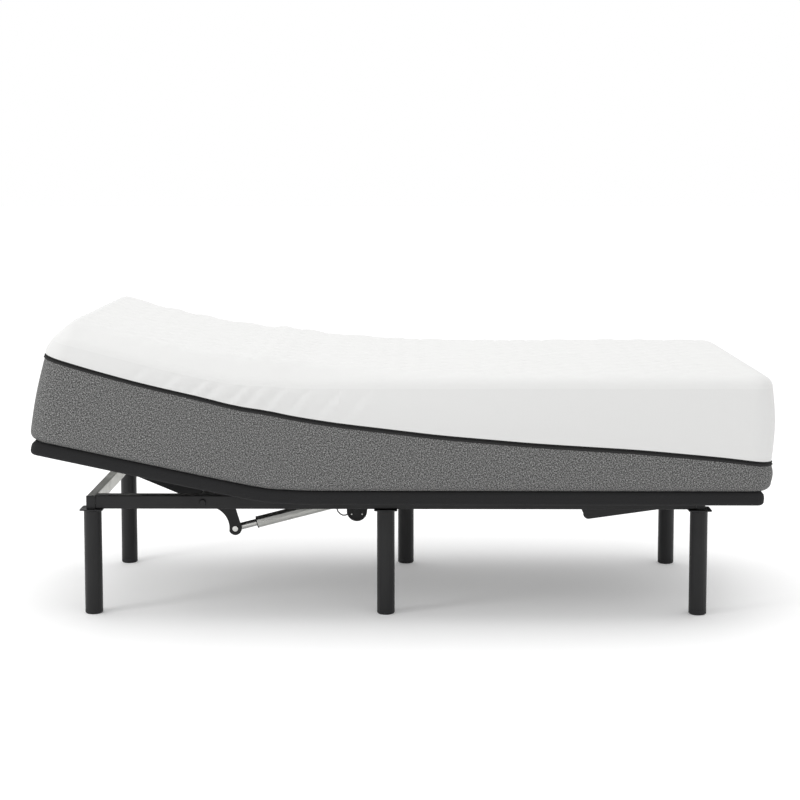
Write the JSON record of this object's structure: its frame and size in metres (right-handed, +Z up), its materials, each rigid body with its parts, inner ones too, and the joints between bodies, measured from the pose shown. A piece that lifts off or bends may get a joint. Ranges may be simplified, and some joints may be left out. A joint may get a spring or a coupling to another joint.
{
  "type": "adjustable bed base",
  "caption": "Adjustable bed base on black steel legs, with a jointed upholstered deck lifted by electric actuators, and a quilted mattress with a grey border.",
  "frame": {"origin": "on the floor, under the middle of the whole object at rest", "axes": "+X from the head end to the foot end, +Y to the sleeper's left, +Z up"},
  "size_m": [2.017, 0.965, 0.8179],
  "materials": {
    "black_steel": "satin black powder coat",
    "zinc_steel": "light silver-grey zinc plate",
    "bare_steel": "bright ground steel",
    "aluminium": "satin anodised extrusion",
    "black_plastic": "fine moulded texture",
    "glide_plastic": "plain moulded plastic",
    "roller_plastic": "smooth turned nylon",
    "deck_fabric": "black woven non-slip cloth",
    "mattress_fabric": "white quilted knit over a grey heather border"
  },
  "bodies": {
    "base_frame": {"side_rail_right": "black_steel", "side_rail_left": "black_steel", "head_cross_tube": "zinc_steel", "foot_cross_tube": "zinc_steel", "head_motor_cross_tube": "black_steel", "thigh_motor_cross_tube": "black_steel", "leg_head_right": "black_steel", "leg_head_left": "black_steel", "leg_mid_right": "black_steel", "leg_mid_left": "black_steel", "leg_foot_right": "black_steel", "leg_foot_left": "black_steel", "glide_head_right": "glide_plastic", "glide_head_left": "glide_plastic", "glide_mid_right": "glide_plastic", "glide_mid_left": "glide_plastic", "glide_foot_right": "glide_plastic", "glide_foot_left": "glide_plastic", "seat_panel": "deck_fabric", "head_motor_clevis": "black_steel", "thigh_motor_clevis": "black_steel", "link_bracket_right": "black_steel", "link_bracket_left": "black_steel", "control_box": "black_plastic", "power_inlet": "black_plastic", "head_pivot_bolt_right": "black_steel", "head_pivot_bolt_left": "black_steel", "mattress_seat": "mattress_fabric"},
    "head_section": {"head_panel": "deck_fabric", "head_roller_plate": "zinc_steel", "mattress_head": "mattress_fabric"},
    "thigh_section": {"thigh_panel": "deck_fabric", "thigh_roller_plate": "zinc_steel", "mattress_thigh": "mattress_fabric"},
    "foot_section": {"foot_panel": "deck_fabric", "foot_link_lug_right": "black_steel", "foot_link_lug_left": "black_steel", "mattress_foot": "mattress_fabric"},
    "head_lift": {"head_torque_tube": "black_steel", "head_lift_arm_right": "black_steel", "head_lift_arm_left": "black_steel", "head_crank": "black_steel", "head_crank_pin": "bare_steel"},
    "thigh_lift": {"thigh_torque_tube": "black_steel", "thigh_lift_arm_right": "black_steel", "thigh_lift_arm_left": "black_steel", "thigh_crank": "black_steel"},
    "head_wheel_right": {"head_roller_right": "roller_plastic"},
    "head_wheel_left": {"head_roller_left": "roller_plastic"},
    "thigh_wheel_right": {"thigh_roller_right": "roller_plastic"},
    "thigh_wheel_left": {"thigh_roller_left": "roller_plastic"},
    "head_ram": {"head_rod": "bare_steel"},
    "head_drive": {"head_actuator_tube": "aluminium", "head_gear_motor": "black_plastic", "head_motor_lead": "black_plastic"},
    "thigh_ram": {"thigh_rod": "bare_steel"},
    "thigh_drive": {"thigh_actuator_tube": "aluminium", "thigh_gear_motor": "black_plastic"},
    "link_right": {"foot_link_right": "black_steel"},
    "link_left": {"foot_link_left": "black_steel"}
  },
  "joints": [
    {"name": "head_tilt", "type": "hinge", "parent": "base_frame", "child": "head_section", "pos_m": [-0.3505, 0, 0.359], "axis": [0, 1, 0], "range_deg": [-12, 48]},
    {"name": "thigh_tilt", "type": "hinge", "parent": "base_frame", "child": "thigh_section", "pos_m": [-0.0155, 0, 0.359], "axis": [0, -1, 0], "range_deg": [0, 40]},
    {"name": "foot_fold", "type": "hinge", "parent": "thigh_section", "child": "foot_section", "pos_m": [0.3195, 0, 0.359], "axis": [0, -1, 0], "range_deg": [-47.9, 0]},
    {"name": "head_lift_turn", "type": "hinge", "parent": "base_frame", "child": "head_lift", "pos_m": [-0.5565, 0, 0.32], "axis": [0, 1, 0], "range_deg": [-19, 75.7]},
    {"name": "thigh_lift_turn", "type": "hinge", "parent": "base_frame", "child": "thigh_lift", "pos_m": [0.0945, 0, 0.32], "axis": [0, -1, 0], "range_deg": [0, 61.3]},
    {"name": "head_roller_spin_right", "type": "hinge", "parent": "head_lift", "child": "head_wheel_right", "pos_m": [-0.82046, 0, 0.41037], "axis": [0, 1, 0], "continuous": true},
    {"name": "head_roller_spin_left", "type": "hinge", "parent": "head_lift", "child": "head_wheel_left", "pos_m": [-0.82046, 0, 0.41037], "axis": [0, 1, 0], "continuous": true},
    {"name": "thigh_roller_spin_right", "type": "hinge", "parent": "thigh_lift", "child": "thigh_wheel_right", "pos_m": [0.2645, 0, 0.32], "axis": [0, 1, 0], "continuous": true},
    {"name": "thigh_roller_spin_left", "type": "hinge", "parent": "thigh_lift", "child": "thigh_wheel_left", "pos_m": [0.2645, 0, 0.32], "axis": [0, 1, 0], "continuous": true},
    {"name": "head_ram_turn", "type": "hinge", "parent": "head_lift", "child": "head_ram", "pos_m": [-0.4975, 0, 0.178], "axis": [0, 1, 0], "range_deg": [-69.2, 17.4]},
    {"name": "thigh_ram_turn", "type": "hinge", "parent": "thigh_lift", "child": "thigh_ram", "pos_m": [0.0512, 0, 0.2468], "axis": [0, -1, 0], "range_deg": [-61.2, 0]},
    {"name": "head_extend", "type": "slide", "parent": "head_ram", "child": "head_drive", "axis": [0.9682, 0, 0.2502], "range_m": [-0.0441, 0.1761]},
    {"name": "thigh_extend", "type": "slide", "parent": "thigh_ram", "child": "thigh_drive", "axis": [-0.9949, 0, 0.101], "range_m": [0, 0.0872]},
    {"name": "foot_link_turn_right", "type": "hinge", "parent": "base_frame", "child": "link_right", "pos_m": [0.5305, 0, 0.2805], "axis": [0, -1, 0], "range_deg": [0, 43.8]},
    {"name": "foot_link_turn_left", "type": "hinge", "parent": "base_frame", "child": "link_left", "pos_m": [0.5305, 0, 0.2805], "axis": [0, -1, 0], "range_deg": [0, 43.8]}
  ],
  "couplings": [
    {"joint": "foot_fold", "follows": "thigh_tilt", "ratio": -1.1954},
    {"joint": "head_lift_turn", "follows": "head_tilt", "ratio": 1.575},
    {"joint": "thigh_lift_turn", "follows": "thigh_tilt", "ratio": 1.53},
    {"joint": "head_ram_turn", "follows": "head_tilt", "ratio": -1.44},
    {"joint": "thigh_ram_turn", "follows": "thigh_tilt", "ratio": -1.5271},
    {"joint": "head_extend", "follows": "head_tilt", "m_per_rad": 0.21},
    {"joint": "thigh_extend", "follows": "thigh_tilt", "m_per_rad": 0.12462},
    {"joint": "foot_link_turn_right", "follows": "thigh_tilt", "ratio": 1.0906},
    {"joint": "foot_link_turn_left", "follows": "thigh_tilt", "ratio": 1.0906}
  ]
}
